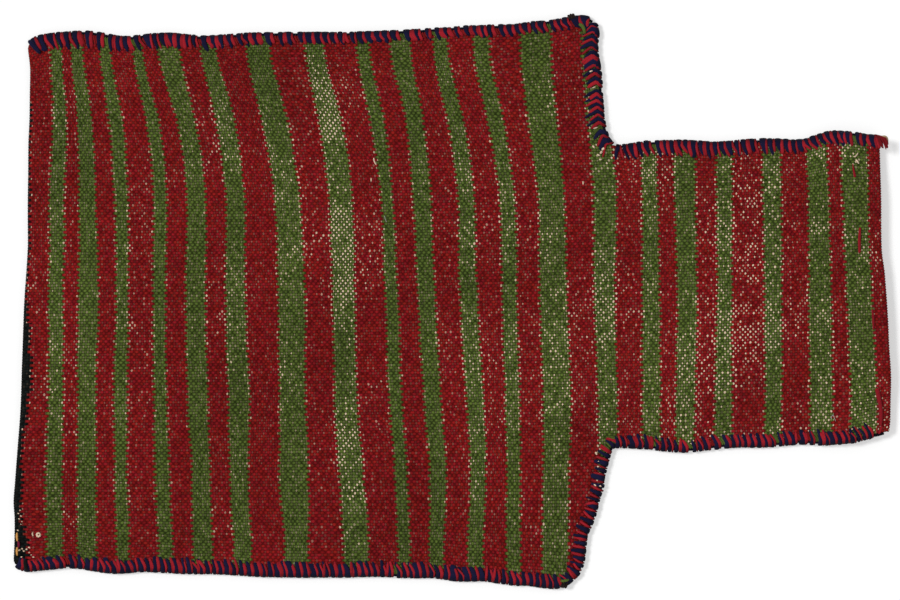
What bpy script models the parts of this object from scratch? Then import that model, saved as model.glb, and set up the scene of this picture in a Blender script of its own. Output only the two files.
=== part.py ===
"""A flat-woven salt bag: one striped wool cloth folded double, sewn up along its sides with a
two-colour overcast and left open at the end of a narrow neck, lying flat and empty.

Metres, +Z up. The bag lies on z = 0 with its neck towards +X and its fold towards -X. A point of
the cloth is named by s, its distance along the warp from the fold, and t, its distance across
from the middle line."""

import bisect
import math

import bmesh
import bpy
from mathutils import Vector

# Widths of the woven bands from the fold to the shoulders, a red and a green one by turns
BODY_BANDS = (
    (0.0122, 0.0090), (0.0114, 0.0135), (0.0124, 0.0083), (0.0159, 0.0107), (0.0139, 0.0120),
    (0.0145, 0.0152), (0.0214, 0.0179), (0.0190, 0.0172), (0.0194, 0.0083), (0.0138, 0.0126),
    (0.0171, 0.0112), (0.0173, 0.0110), (0.0159, 0.0179), (0.0191, 0.0147),
)
# The same from the shoulders to the mouth, which ends in one more red band
NECK_BANDS = (
    (0.0186, 0.0117), (0.0138, 0.0128), (0.0127, 0.0124), (0.0204, 0.0127), (0.0190, 0.0152),
    (0.0100, 0.0179),
)
MOUTH_BAND = 0.0095
DARK_BAND = 0.0085

# The cloth
BODY_WIDTH = 0.3670
NECK_WIDTH = 0.2060
CLOTH_THICKNESS = 0.0020
HEM_DEPTH = 0.0220
LAYER_GAP = 0.0004

# How the empty bag lies, seen from above
FOLD_X = -0.2904
FOLD_LEAN = 0.0100
FOLD_LEAN_START = 0.0400
UPPER_FLARE = 0.0050
LOWER_FLARE = 0.0150
UPPER_SHOULDER_PULL = 0.0140
LOWER_SHOULDER_PULL = 0.0300
MOUTH_LEAN = 0.0060
NECK_RISE = 0.0120
MIDDLE_AT_FOLD = -0.0010
UPPER_STRIPE_DRIFT = 0.0140
LOWER_STRIPE_DRIFT = 0.0080

# How far its layers lie apart
POCKET_GAP = 0.0075
POCKET_RISE = 0.0350
FOLD_GAP = 0.0030
FOLD_RISE = 0.0600
MOUTH_CLEAR = 0.0047
HEM_RAMP = 0.0300
CLOTH_SLACK = 0.0005

# The overcast
STITCH_PITCH = 0.0032
STITCH_REACH = 0.0085
STITCH_TOOTH = 0.0010
STITCH_LEAN = 0.0017
STITCH_YARN = 0.0012
STITCH_RIDGE = 0.0006
STITCH_TIP = 0.0006
RIM = 0.0022
CLEARANCE = 0.0003
STITCHES_PER_FACE = 4

# The tacks of the hem: each end's place as shares of the hem's depth and of half the neck's
# width, and the yarn's thickness
HEM_TACKS = {
    "hem_tack_upper": ((0.82, 0.84), (0.82, 0.76), 0.0015),
    "hem_tack_middle": ((0.68, 0.42), (0.70, 0.25), 0.0018),
    "hem_tack_lower": ((0.48, -0.13), (0.46, -0.25), 0.0015),
    "hem_tack_corner": ((0.40, -0.63), (0.30, -0.84), 0.0026),
}
TACK_BEND = 0.0012

# Yarn ends
TUFT_LENGTH = 0.0130
TUFT_THICKNESS = 0.0042
KNOT_LENGTH = 0.0080
KNOT_THICKNESS = 0.0046
KNOT_BACK = 0.0190

body_length = sum(red + green for red, green in BODY_BANDS)
neck_length = sum(red + green for red, green in NECK_BANDS) + MOUTH_BAND
length = body_length + neck_length
half_body = BODY_WIDTH / 2
half_neck = NECK_WIDTH / 2
hem_stack = CLOTH_THICKNESS + LAYER_GAP
stitch_depth = STITCH_REACH + STITCH_TOOTH
seam_depth = stitch_depth + 2 * CLEARANCE
seam_lift = STITCH_YARN + CLEARANCE

RED, GREEN, DARK = range(3)


def clamped(share):
    return min(max(share, 0.0), 1.0)


def ease(share):
    """0 before the start of a rise, 1 after its end and smooth between."""
    share = clamped(share)
    return share * share * (3 - 2 * share)


def outer_share(t):
    """0 on the strip that runs on into the neck, 1 on the body's long edges."""
    return max(0.0, (abs(t) - half_neck) / (half_body - half_neck))


def plan(s, t):
    """Where the woven point lies, seen from above."""
    lean = max(0.0, (FOLD_LEAN_START - t) / (FOLD_LEAN_START + half_body))
    fold_x = FOLD_X - FOLD_LEAN * lean
    if t > 0:
        pull = UPPER_SHOULDER_PULL * outer_share(t) ** 0.3
        flare = UPPER_FLARE
    else:
        pull = LOWER_SHOULDER_PULL * outer_share(t)
        flare = -LOWER_FLARE
    shoulder_x = FOLD_X + body_length - pull
    mouth_x = FOLD_X + length - MOUTH_LEAN * (0.5 + t / NECK_WIDTH)
    along = clamped(s / body_length)
    if s <= body_length:
        x = fold_x + s / body_length * (shoulder_x - fold_x)
    else:
        x = shoulder_x + (s - body_length) / neck_length * (mouth_x - shoulder_x)
    drift = math.sin(math.pi * along**0.8)
    x -= UPPER_STRIPE_DRIFT * drift * ease((t / half_body - 0.35) / 0.65) ** 1.5
    x += LOWER_STRIPE_DRIFT * drift * ease((-t / half_body - 0.35) / 0.65)
    middle = MIDDLE_AT_FOLD + NECK_RISE * (max(s, 0.0) / length) ** 2
    return x, middle + t + flare * along**2 * outer_share(t)


def seam_distance(s, t):
    """How far the woven point is from the nearest sewn edge."""
    if s > body_length:
        return max(0.0, half_neck - abs(t))
    to_side = half_body - abs(t)
    to_shoulder = math.hypot(body_length - s, max(0.0, half_neck - abs(t)))
    return max(0.0, min(to_side, to_shoulder))


def freed(s, t):
    """0 under the overcast, where the layers are held together, 1 where they lie free."""
    return ease((seam_distance(s, t) - seam_depth) / POCKET_RISE)


def pocket(s, t):
    """The clear height between the two layers. Towards the mouth it makes room for both hems."""
    hem = ease((s - (length - HEM_DEPTH - HEM_RAMP)) / HEM_RAMP)
    at_seam = LAYER_GAP + 2 * hem_stack * hem
    inside = FOLD_GAP + (POCKET_GAP - FOLD_GAP) * ease(s / FOLD_RISE)
    inside += (MOUTH_CLEAR + 2 * hem_stack - inside) * hem
    return at_seam + (inside - at_seam) * freed(s, t)


def bottom_z(s, t):
    """The middle of the lower layer, flat on the ground inside and lifted where it is sewn."""
    return CLOTH_THICKNESS / 2 + seam_lift * (1 - freed(s, t))


def top_z(s, t):
    """The middle of the upper layer, with the slack of an empty bag."""
    free = freed(s, t) * ease((length - HEM_DEPTH - HEM_RAMP - s) / HEM_RAMP)
    slack = CLOTH_SLACK * free * math.sin(21 * s + 14 * t) * math.sin(30 * t - 9 * s)
    return bottom_z(s, t) + CLOTH_THICKNESS + pocket(s, t) + slack


def top_layer(s, t):
    return Vector((*plan(s, t), top_z(s, t)))


def bottom_layer(s, t):
    return Vector((*plan(s, t), bottom_z(s, t)))


def top_hem(s, t):
    return Vector((*plan(s, t), top_z(s, t) - hem_stack))


def bottom_hem(s, t):
    return Vector((*plan(s, t), bottom_z(s, t) + hem_stack))


def dark_edge(_, t):
    """The edge of the near-black band, which the fold crosses at a slant."""
    width = DARK_BAND * ease((half_body * 0.6 - t) / (BODY_WIDTH * 0.75))
    return top_layer(CLOTH_THICKNESS / 2 + width, t)


def turn_point(lower, upper, share, outward):
    """A point on the half circle by which the cloth turns over, from upper down to lower."""
    radius = (upper.z - lower.z) / 2
    angle = math.pi * share
    rise = Vector((outward * radius * math.sin(angle), 0, radius * (1 + math.cos(angle))))
    return lower + rise


def top_mouth(share, t):
    return turn_point(top_hem(length, t), top_layer(length, t), share, 1)


def bottom_mouth(share, t):
    return turn_point(bottom_layer(length, t), bottom_hem(length, t), share, 1)


def fold(share, t):
    return turn_point(bottom_layer(0.0, t), top_layer(0.0, t), share, -1)


def band_edges():
    """The distance of each colour change from the fold, with the colour that ends there."""
    edges = []
    s = 0.0
    for red, green in BODY_BANDS + NECK_BANDS:
        edges.append((s + red, RED))
        s += red + green
        edges.append((s, GREEN))
    return edges


def cloth_lines():
    """The lines across the cloth, from the hem inside the upper layer round to the other hem.
    Each has its place function, its measure there and the colour of the cloth before it."""
    hem_start = length - HEM_DEPTH
    turns = (0.75, 0.5, 0.25)
    lines = [(top_hem, hem_start, RED), (top_hem, hem_start + HEM_DEPTH / 2, RED), (top_hem, length, RED)]
    lines += [(top_mouth, share, RED) for share in turns]
    lines += [(top_layer, length, RED)]
    before = RED
    for s, colour in reversed(band_edges()):
        lines.append((top_layer, s, before))
        before = colour
    lines += [(dark_edge, 0.0, RED)]
    lines += [(fold, share, DARK) for share in (0.0, *reversed(turns))]
    lines += [(bottom_layer, 0.0, DARK)]
    for start, extent, steps in ((0.0, body_length, 9), (body_length, neck_length, 4)):
        for step in range(1, steps + 1):
            lines.append((bottom_layer, start + extent * step / steps, RED))
    lines += [(bottom_mouth, share, RED) for share in turns]
    lines += [(bottom_hem, length, RED), (bottom_hem, hem_start, RED)]
    return lines


def cloth_rows():
    """The distances of the rows along the cloth from its middle line. They stand closer where the
    pocket opens beside a seam."""
    inner = half_neck - seam_depth
    outer = half_body - seam_depth
    half = [half_neck, inner, inner - 0.45 * POCKET_RISE, inner - POCKET_RISE, 0.4 * (inner - POCKET_RISE)]
    half += [half_body, outer, outer - 0.4 * POCKET_RISE, outer - POCKET_RISE]
    half += [half_neck + 0.35 * POCKET_RISE]
    half.sort()
    return [-value for value in reversed(half)] + half


def is_past_shoulder(locate, measure):
    """True for the lines that only the neck has."""
    if locate in (fold, dark_edge):
        return False
    return locate not in (top_layer, bottom_layer) or measure > body_length + LAYER_GAP


def material(name, colour, roughness):
    made = bpy.data.materials.new(name)
    made.use_nodes = True
    shader = made.node_tree.nodes["Principled BSDF"]
    shader.inputs["Base Color"].default_value = (*colour, 1.0)
    shader.inputs["Roughness"].default_value = roughness
    shader.inputs["Metallic"].default_value = 0.0
    return made


def add_object(name, data, materials):
    made = bpy.data.objects.new(name, data)
    bag.objects.link(made)
    for entry in materials:
        made.data.materials.append(entry)
    return made


def add_mesh(name, work, materials):
    """The finished bmesh as an object with its faces pointing out."""
    bmesh.ops.recalc_face_normals(work, faces=work.faces)
    mesh = bpy.data.meshes.new(name)
    work.to_mesh(mesh)
    work.free()
    return add_object(name, mesh, materials)


def make_cloth():
    """The cloth starts as a flat grid, is cut to the shape of its two necks, folded over and
    given its thickness. The tacks' holes go through the hem."""
    lines = cloth_lines()
    rows = cloth_rows()
    columns = len(lines) - 1
    ranks = len(rows) - 1
    work = bmesh.new()
    bmesh.ops.create_grid(work, x_segments=columns, y_segments=ranks, size=1.0)
    place = {}
    for vert in work.verts:
        place[vert] = (round((vert.co.x + 1) / 2 * columns), round((vert.co.y + 1) / 2 * ranks))
    beside_neck = []
    for face in work.faces:
        numbers = [place[vert][0] for vert in face.verts]
        outermost = max(abs(rows[place[vert][1]]) for vert in face.verts)
        face.material_index = lines[max(numbers)][2]
        face.smooth = True
        on_neck = any(is_past_shoulder(*lines[number][:2]) for number in numbers)
        if on_neck and outermost > half_neck + LAYER_GAP:
            beside_neck.append(face)
    bmesh.ops.delete(work, geom=beside_neck, context="FACES")
    for vert in work.verts:
        column, rank = place[vert]
        locate, measure, _ = lines[column]
        vert.co = locate(measure, rows[rank])
    cloth = add_mesh("woven_bag_cloth", work, (madder_red, leaf_green, near_black))
    shell = cloth.modifiers.new("Thickness", "SOLIDIFY")
    shell.thickness = CLOTH_THICKNESS
    shell.offset = 0.0
    shell.use_even_offset = True
    holes = cloth.modifiers.new("Tack holes", "BOOLEAN")
    holes.operation = "DIFFERENCE"
    holes.solver = "EXACT"
    holes.object = make_hole_cutter()


def tack_end(hem_share, neck_share):
    """The woven point where a tack goes through the hem."""
    return length - HEM_DEPTH * hem_share, half_neck * neck_share


def make_hole_cutter():
    """A short prism at each end of each tack, through the upper layer and its hem."""
    work = bmesh.new()
    for first, second, yarn in HEM_TACKS.values():
        for end in (first, second):
            upper = top_layer(*tack_end(*end))
            hole = bmesh.ops.create_cone(
                work, cap_ends=True, segments=8, radius1=yarn / 2 + CLEARANCE,
                radius2=yarn / 2 + CLEARANCE, depth=2 * hem_stack + MOUTH_CLEAR / 2,
            )
            bmesh.ops.translate(work, verts=hole["verts"], vec=upper - Vector((0, 0, hem_stack / 2)))
    mesh = bpy.data.meshes.new("tack_holes")
    work.to_mesh(mesh)
    work.free()
    cutter = bpy.data.objects.new("tack_holes", mesh)
    cutters.objects.link(cutter)
    cutter.hide_render = True
    cutter.display_type = "WIRE"
    return cutter


def tack_path(first, second, yarn):
    """A tack's yarn: up through hem and cloth, along the top and down through both again."""
    ends = []
    for end in (first, second):
        s, t = tack_end(*end)
        foot = top_hem(s, t) - Vector((0, 0, CLOTH_THICKNESS / 2 - CLEARANCE))
        crown = top_layer(s, t) + Vector((0, 0, CLOTH_THICKNESS / 2 + CLEARANCE + yarn / 2))
        ends.append((foot, crown))
    (foot_a, crown_a), (foot_b, crown_b) = ends
    inward = (crown_b - crown_a).normalized() * TACK_BEND
    drop = Vector((0, 0, -TACK_BEND))
    path = [foot_a, crown_a + drop, crown_a + 0.3 * (inward + drop), crown_a + inward]
    path += [crown_b - inward, crown_b + 0.3 * (drop - inward), crown_b + drop, foot_b]
    return path


def make_yarn(name, path, thickness, colour, swell=None):
    """A length of yarn as a round tube along a path, thicker and thinner as swell says."""
    curve = bpy.data.curves.new(name, "CURVE")
    curve.dimensions = "3D"
    curve.bevel_depth = thickness / 2
    curve.bevel_resolution = 1
    curve.use_fill_caps = True
    spline = curve.splines.new("POLY")
    spline.points.add(len(path) - 1)
    for number, point in enumerate(path):
        spline.points[number].co = (*point, 1.0)
        spline.points[number].radius = swell[number] if swell else 1.0
    spline.use_smooth = True
    return add_object(name, curve, (colour,))


def straight_between(stops, measure, value):
    """The value at a measure on the cloth's edge, which runs straight from stop to stop."""
    after = min(max(bisect.bisect_right(stops, measure), 1), len(stops) - 1)
    first, second = stops[after - 1], stops[after]
    share = (measure - first) / (second - first)
    pairs = zip(value(first), value(second))
    return tuple(one + share * (other - one) for one, other in pairs)


def edge_along_warp(t, stops):
    """The cloth's edge at t: its place and the heights of both layers as a function of s."""
    return lambda measure: straight_between(
        stops, measure, lambda s: (*plan(s, t), bottom_z(s, t), top_z(s, t))
    )


def edge_along_weft(sign, stops):
    """The same for a shoulder, as a function of the distance from the middle line."""
    s = body_length
    return lambda measure: straight_between(
        stops, measure, lambda t: (*plan(s, sign * t), bottom_z(s, sign * t), top_z(s, sign * t))
    )


def overcast_section(place, outward, along, is_crest, lean):
    """One section of the overcast, a channel that clasps both layers: lip, rim top, rim foot and
    lower lip outside, then the corners of the slot for the cloth. On a crest the yarn stands out
    and reaches further in; between two stitches it dips."""
    x, y, bottom, top = place
    low = bottom - CLOTH_THICKNESS / 2 - CLEARANCE
    high = top + CLOTH_THICKNESS / 2 + CLEARANCE
    ridge = STITCH_RIDGE if is_crest else 0.0
    reach = STITCH_REACH + (STITCH_TOOTH if is_crest else 0.0)
    profile = (
        (-reach, high + STITCH_TIP + ridge / 2, lean),
        (RIM + ridge, high + STITCH_YARN / 2 + ridge, 0.0),
        (RIM - STITCH_TIP + ridge, 0.0, 0.0),
        (-reach, low - STITCH_TIP, 0.0),
        (CLEARANCE, low, 0.0),
        (CLEARANCE, high, 0.0),
    )
    edge = Vector((x, y, 0))
    return [edge + outward * out + along * shift + Vector((0, 0, z)) for out, z, shift in profile]


def make_overcast(name, edge_at, start, end, lean=0.0):
    """A run of overcasting along one sewn edge, from start to end of its measure. Each stitch is
    a ridge across the run, navy and red by turns, lofted from its valley over its crest."""
    step_sign = math.copysign(STITCH_PITCH / 4, end - start)
    side = math.copysign(1.0, edge_at(start)[1])
    span = math.dist(edge_at(start)[:2], edge_at(end)[:2])
    steps = 4 * round(span / STITCH_PITCH / 2)
    work = bmesh.new()
    sections = []
    for step in range(steps + 1):
        measure = start + (end - start) * step / steps
        before = Vector((*edge_at(measure - step_sign)[:2], 0))
        after = Vector((*edge_at(measure + step_sign)[:2], 0))
        along = (after - before).normalized()
        outward = Vector((-along.y, along.x, 0))
        if outward.y * side < 0 or (outward.y * side < 0.5 and outward.x < 0):
            outward = -outward
        leans = lean if 2 < step < steps - 2 else 0.0
        spots = overcast_section(edge_at(measure), outward, along, step % 2 == 1, leans)
        sections.append([work.verts.new(spot) for spot in spots])
    for step, (here, there) in enumerate(zip(sections, sections[1:])):
        for corner, vert in enumerate(here):
            after = (corner + 1) % len(here)
            face = work.faces.new((vert, here[after], there[after], there[corner]))
            face.material_index = step // 2 % 2
            face.smooth = corner < 2
    work.faces.new(sections[0])
    work.faces.new(sections[-1])
    merge_hidden_faces(work, sections, edge_at, start, end)
    add_mesh(name, work, (navy_yarn, red_yarn))


def merge_hidden_faces(work, sections, edge_at, start, end):
    """The underside and the slot need one face for several stitches where the seam is level."""
    spare = []
    for step, verts in enumerate(sections[1:-1], 1):
        height = edge_at(start + (end - start) * step / (len(sections) - 1))[3]
        is_level = height < edge_at(start)[3] + LAYER_GAP / 2
        if is_level and step % (2 * STITCHES_PER_FACE):
            spare += [work.edges.get(verts[corner : corner + 2]) for corner in (2, 3, 4)]
            spare.append(work.edges.get((verts[5], verts[0])))
    bmesh.ops.dissolve_edges(work, edges=spare, use_verts=True)


def make_knot(name, sign):
    """A knot in the overcast yarn, against the rim near the outer corner of the shoulder."""
    seat = body_length - KNOT_BACK
    ahead = Vector(plan(seat + KNOT_LENGTH / 2, sign * half_body))
    behind = Vector(plan(seat - KNOT_LENGTH / 2, sign * half_body))
    along = (ahead - behind).normalized()
    outward = Vector((-along.y, along.x)) * sign
    bpy.ops.mesh.primitive_uv_sphere_add(segments=12, ring_count=8, radius=KNOT_LENGTH / 2)
    knot = bpy.context.object
    knot.name = name
    knot.data.name = name
    for vert in knot.data.vertices:
        lump = 1 + 0.15 * math.cos(math.tau * vert.co.x / KNOT_LENGTH)
        vert.co.y *= KNOT_THICKNESS / KNOT_LENGTH * lump
        vert.co.z *= KNOT_THICKNESS / KNOT_LENGTH * lump
    depth = max(vert.co.y for vert in knot.data.vertices)
    rim_face = RIM + STITCH_RIDGE - STITCH_TIP / 2
    centre = (ahead + behind) / 2 + outward * (rim_face + CLEARANCE + depth)
    knot.data.shade_smooth()
    knot.location = (*centre, seam_lift + CLOTH_THICKNESS)
    knot.rotation_euler.z = math.atan2(along.y, along.x)
    for collection in list(knot.users_collection):
        collection.objects.unlink(knot)
    bag.objects.link(knot)
    knot.data.materials.append(brown_yarn)


def make_tuft():
    """The frayed end of the overcast yarn, on the run at the mouth's upper corner."""
    corner = top_layer(length, half_neck)
    run_top = CLOTH_THICKNESS / 2 + 2 * CLEARANCE + STITCH_YARN / 2 + STITCH_RIDGE
    corner.z += run_top + TUFT_THICKNESS / 2
    path = []
    for share in (0.0, 0.25, 0.5, 0.75, 1.0):
        along = TUFT_LENGTH * (share - 0.6)
        sideways = -TUFT_LENGTH * 0.45 * share**2
        path.append(corner + Vector((along, sideways + RIM / 2, 0)))
    make_yarn("mouth_corner_tuft", path, TUFT_THICKNESS, red_yarn, (0.5, 0.95, 1.0, 0.8, 0.4))


for item in list(bpy.data.objects):
    bpy.data.objects.remove(item, do_unlink=True)

bag = bpy.data.collections.new("salt_bag")
cutters = bpy.data.collections.new("cutters")
for group in (bag, cutters):
    bpy.context.scene.collection.children.link(group)

madder_red = material("madder red wool", (0.250, 0.010, 0.018), 0.9)
leaf_green = material("leaf green wool", (0.085, 0.165, 0.035), 0.9)
near_black = material("near-black wool", (0.010, 0.014, 0.014), 0.9)
navy_yarn = material("navy yarn", (0.012, 0.012, 0.070), 0.85)
red_yarn = material("bright red yarn", (0.420, 0.015, 0.030), 0.85)
brown_yarn = material("dark brown yarn", (0.035, 0.018, 0.012), 0.9)

make_cloth()

side_start = -CLOTH_THICKNESS / 2
shoulder_start = half_body - stitch_depth - 2 * CLEARANCE
neck_start = body_length + RIM + STITCH_RIDGE + 2 * CLEARANCE
warp_stops = [0.0] + [s for s, _ in band_edges()] + [length]
body_stops = [s for s in warp_stops if s <= body_length + LAYER_GAP]
neck_stops = [s for s in warp_stops if s >= body_length - LAYER_GAP]
weft_stops = [t for t in cloth_rows() if t >= half_neck]
for word, sign in (("upper", 1), ("lower", -1)):
    body_side = edge_along_warp(sign * half_body, body_stops)
    neck_side = edge_along_warp(sign * half_neck, neck_stops)
    shoulder = edge_along_weft(sign, weft_stops)
    make_overcast(f"side_overcast_{word}", body_side, side_start, body_length + RIM / 2, STITCH_LEAN)
    make_overcast(f"shoulder_overcast_{word}", shoulder, shoulder_start, half_neck + CLEARANCE)
    make_overcast(f"neck_overcast_{word}", neck_side, neck_start, length + RIM / 2, STITCH_LEAN)
    make_knot(f"corner_knot_{word}", sign)

for tack, (first_end, second_end, tack_yarn) in HEM_TACKS.items():
    make_yarn(tack, tack_path(first_end, second_end, tack_yarn), tack_yarn, red_yarn)
make_tuft()
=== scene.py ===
"""A flat-woven salt bag, lying flat and empty: its striped cloth, the navy and red overcast that
holds its edges, the tacks of its hem and the yarn ends at its corners.

Metres, +Z up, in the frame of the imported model: the neck points to +X and the fold lies at -X. A
point of the cloth is named by s, its distance along the warp from the fold, and t, its distance
across from the middle line."""

import bisect
import math
import random

import bmesh
import bpy
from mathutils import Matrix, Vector, noise


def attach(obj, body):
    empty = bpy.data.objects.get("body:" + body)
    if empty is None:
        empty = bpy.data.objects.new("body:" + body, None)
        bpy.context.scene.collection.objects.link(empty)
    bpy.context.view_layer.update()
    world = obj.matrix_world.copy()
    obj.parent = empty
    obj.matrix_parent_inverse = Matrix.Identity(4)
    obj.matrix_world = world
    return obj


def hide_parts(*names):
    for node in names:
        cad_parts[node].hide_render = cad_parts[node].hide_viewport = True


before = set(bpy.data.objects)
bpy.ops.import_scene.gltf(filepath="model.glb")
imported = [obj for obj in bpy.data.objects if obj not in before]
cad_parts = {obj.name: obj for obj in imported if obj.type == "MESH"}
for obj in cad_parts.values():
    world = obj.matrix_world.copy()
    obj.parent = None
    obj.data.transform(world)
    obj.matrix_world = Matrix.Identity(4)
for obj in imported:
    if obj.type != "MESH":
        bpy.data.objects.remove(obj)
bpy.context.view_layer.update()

MM = 0.001
UP = Vector((0, 0, 1))


def link(name, data, materials=()):
    """A new object in the scene, with its materials."""
    for entry in materials:
        data.materials.append(entry)
    made = bpy.data.objects.new(name, data)
    bpy.context.scene.collection.objects.link(made)
    return made


def mesh_of(name, work):
    """A new mesh of what a bmesh holds, which is then freed."""
    mesh = bpy.data.meshes.new(name)
    work.to_mesh(mesh)
    work.free()
    return mesh


# The picture: the camera looks straight down on the flat bag through a long lens. The floor is
# white paper, and a wide soft light stands high on the left.
PICTURE_WIDTH = 0.621
PICTURE_MIDDLE = Vector((-0.0016, 0.0010, 0.0100))
CAMERA_HEIGHT = 2.6
SENSOR_WIDTH = 36.0
FLOOR_SIZE = 16.0
FLOOR_DROP = 0.0002
SKY_STRENGTH = 0.46
SUN_STRENGTH = 1.90
SUN_WIDTH = math.radians(14)
SUN_TILT = (math.radians(4), math.radians(-34), math.radians(-28))
FLOOR_WHITE = 0.60
FLOOR_LIFT = 0.46

view = bpy.data.cameras.new("camera")
view.sensor_width = SENSOR_WIDTH
view.lens = SENSOR_WIDTH * CAMERA_HEIGHT / PICTURE_WIDTH
camera = link("camera", view)
camera.location = PICTURE_MIDDLE + UP * CAMERA_HEIGHT
bpy.context.scene.camera = camera
bpy.context.scene.view_settings.view_transform = "Standard"

sky = bpy.data.worlds.new("sky")
sky.use_nodes = True
sky.node_tree.nodes["Background"].inputs["Color"].default_value = (1, 1, 1, 1)
sky.node_tree.nodes["Background"].inputs["Strength"].default_value = SKY_STRENGTH
bpy.context.scene.world = sky

sun = bpy.data.lights.new("sun", "SUN")
sun.energy = SUN_STRENGTH
sun.angle = SUN_WIDTH
link("sun", sun).rotation_euler = SUN_TILT


def new_material(name):
    made = bpy.data.materials.new(name)
    made.use_nodes = True
    return made, made.node_tree, made.node_tree.nodes["Principled BSDF"]


def arithmetic(operation, swapped=False):
    """A method of a Number that adds the node for one operation."""
    def method(self, *others):
        values = (*others, self) if swapped else (self, *others)
        return reading(self.socket.id_data, "ShaderNodeMath", enumerate(values), operation=operation)
    return method


class Number:
    """A number that a shader works out. Arithmetic on it adds the nodes for the result."""

    def __init__(self, socket):
        self.socket = socket

    __add__ = arithmetic("ADD")
    __sub__ = arithmetic("SUBTRACT")
    __rsub__ = arithmetic("SUBTRACT", swapped=True)
    __mul__ = arithmetic("MULTIPLY")
    __truediv__ = arithmetic("DIVIDE")
    __mod__ = arithmetic("FLOORED_MODULO")
    __pow__ = arithmetic("POWER")
    __gt__ = arithmetic("GREATER_THAN")
    __lt__ = arithmetic("LESS_THAN")
    __abs__ = arithmetic("ABSOLUTE")
    __floor__ = arithmetic("FLOOR")
    fraction = arithmetic("FRACT")
    root = arithmetic("SQRT")
    sine = arithmetic("SINE")
    at_least = arithmetic("MAXIMUM")
    at_most = arithmetic("MINIMUM")


def node(tree, kind, inputs=(), **settings):
    """A shader node with its settings and its inputs: plain values, sockets or Numbers."""
    made = tree.nodes.new(kind)
    for key, value in settings.items():
        setattr(made, key, value)
    for key, value in dict(inputs).items():
        if isinstance(value, Number):
            value = value.socket
        if isinstance(value, bpy.types.NodeSocket):
            tree.links.new(value, made.inputs[key])
        else:
            made.inputs[key].default_value = value
    return made


def reading(tree, kind, inputs=(), output=0, **settings):
    """The Number that a new shader node gives."""
    return Number(node(tree, kind, inputs, **settings).outputs[output])


def make_floor():
    """White paper. To the camera it glows a little, so that it is white and keeps the shadow."""
    work = bmesh.new()
    bmesh.ops.create_grid(work, x_segments=1, y_segments=1, size=FLOOR_SIZE / 2)
    bmesh.ops.translate(work, verts=work.verts, vec=(0, 0, -FLOOR_DROP))
    paper, tree, shader = new_material("white paper")
    shader.inputs["Base Color"].default_value = (FLOOR_WHITE, FLOOR_WHITE, FLOOR_WHITE, 1)
    shader.inputs["Roughness"].default_value = 0.9
    shader.inputs["Emission Color"].default_value = (1, 1, 1, 1)
    ray = node(tree, "ShaderNodeLightPath").outputs
    seen = Number(ray["Is Camera Ray"]).at_least(ray["Is Glossy Ray"]).at_least(ray["Is Transmission Ray"])
    tree.links.new((seen * FLOOR_LIFT).socket, shader.inputs["Emission Strength"])
    floor = link("floor", mesh_of("floor", work), [paper])


make_floor()

# The cloth is one length of coarse wool weave, red and green weft over ivory warp. It is folded
# double at the foot of the bag, its narrow ends lie on each other as the neck, and each end is
# turned in once as a hem.
BODY_LENGTH = 0.4028
NECK_LENGTH = 0.1867
BODY_WIDTH = 0.3670
NECK_WIDTH = 0.2060
CLOTH_THICKNESS = 0.0020
HEM_DEPTH = 0.0220
LAYER_GAP = 0.0004

# How the empty bag lies, as in the frame
FOLD_X = -0.2904
FOLD_LEAN = 0.0100
FOLD_LEAN_START = 0.0400
UPPER_FLARE = 0.0050
LOWER_FLARE = 0.0150
UPPER_SHOULDER_PULL = 0.0140
UPPER_PULL_SHAPE = 0.3
LOWER_SHOULDER_PULL = 0.0300
MOUTH_LEAN = 0.0060
NECK_RISE = 0.0120
MIDDLE_AT_FOLD = -0.0010
POCKET_GAP = 0.0075
POCKET_RISE = 0.0350
FOLD_GAP = 0.0030
FOLD_RISE = 0.0600
MOUTH_CLEAR = 0.0047
HEM_RAMP = 0.0300
CLOTH_SLACK = 0.0005
SLACK_WAVES = ((21, 14), (-9, 30))
STITCH_YARN = 0.0012
CLEARANCE = 0.0003
SEAM_DEPTH = 0.0101

# How far each edge wanders out of line, in millimetres: a distance along the edge, measured from
# the fold or from the middle line, and the shift there, in +Y on the long edges and in +X on the
# others
UPPER_SIDE = (
    (0, -3.2), (6, -1.6), (13, -0.2), (22, 0.8), (37, 1.5), (48, 0.3), (65, -2.4), (84, -0.9), (99, -0.4),
    (115, -2.2), (128, -2.7), (140, -2.0), (160, -1.2), (184, -1.6), (229, -2.6), (264, -2.4), (284, -2.0),
    (315, -1.2), (347, -1.5), (358, -0.3), (371, 0.0), (392, 2.0), (403, 1.2),
)
LOWER_SIDE = (
    (0, 2.4), (8, 0.8), (38, 3.2), (69, -0.2), (92, 1.1), (119, 0.1), (146, 0.2), (174, -1.0), (213, -0.7),
    (240, 0.2), (261, 1.2), (281, 0.9), (301, 1.6), (320, 0.0), (340, 0.7), (359, -1.2), (372, -1.0),
    (388, -2.2), (403, -1.8),
)
UPPER_NECK = (
    (403, -2.3), (408, -2.2), (414, -1.6), (425, -0.3), (455, -0.6), (475, -2.4), (500, -1.4),
    (515, -1.6), (536, -3.0), (546, -0.6), (557, 2.0), (571, 0.9), (589, -1.9),
)
LOWER_NECK = (
    (403, 0.0), (419, -0.8), (445, -4.0), (456, -4.4), (468, -3.2), (485, -2.2), (511, -2.7),
    (531, -1.5), (545, -2.7), (568, -1.8), (576, 0.3), (583, 1.2), (590, 2.6),
)
FOLD_EDGE = (
    (-184, -1.0), (-173, -1.0), (-149, -1.0), (-137, -1.9), (-124, -1.4), (-106, -0.7), (-74, 0.4),
    (-41, 0.0), (-3, -0.5), (32, 0.3), (77, 0.6), (110, 0.6), (130, 1.3), (163, 0.8), (184, -1.4),
)
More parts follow.
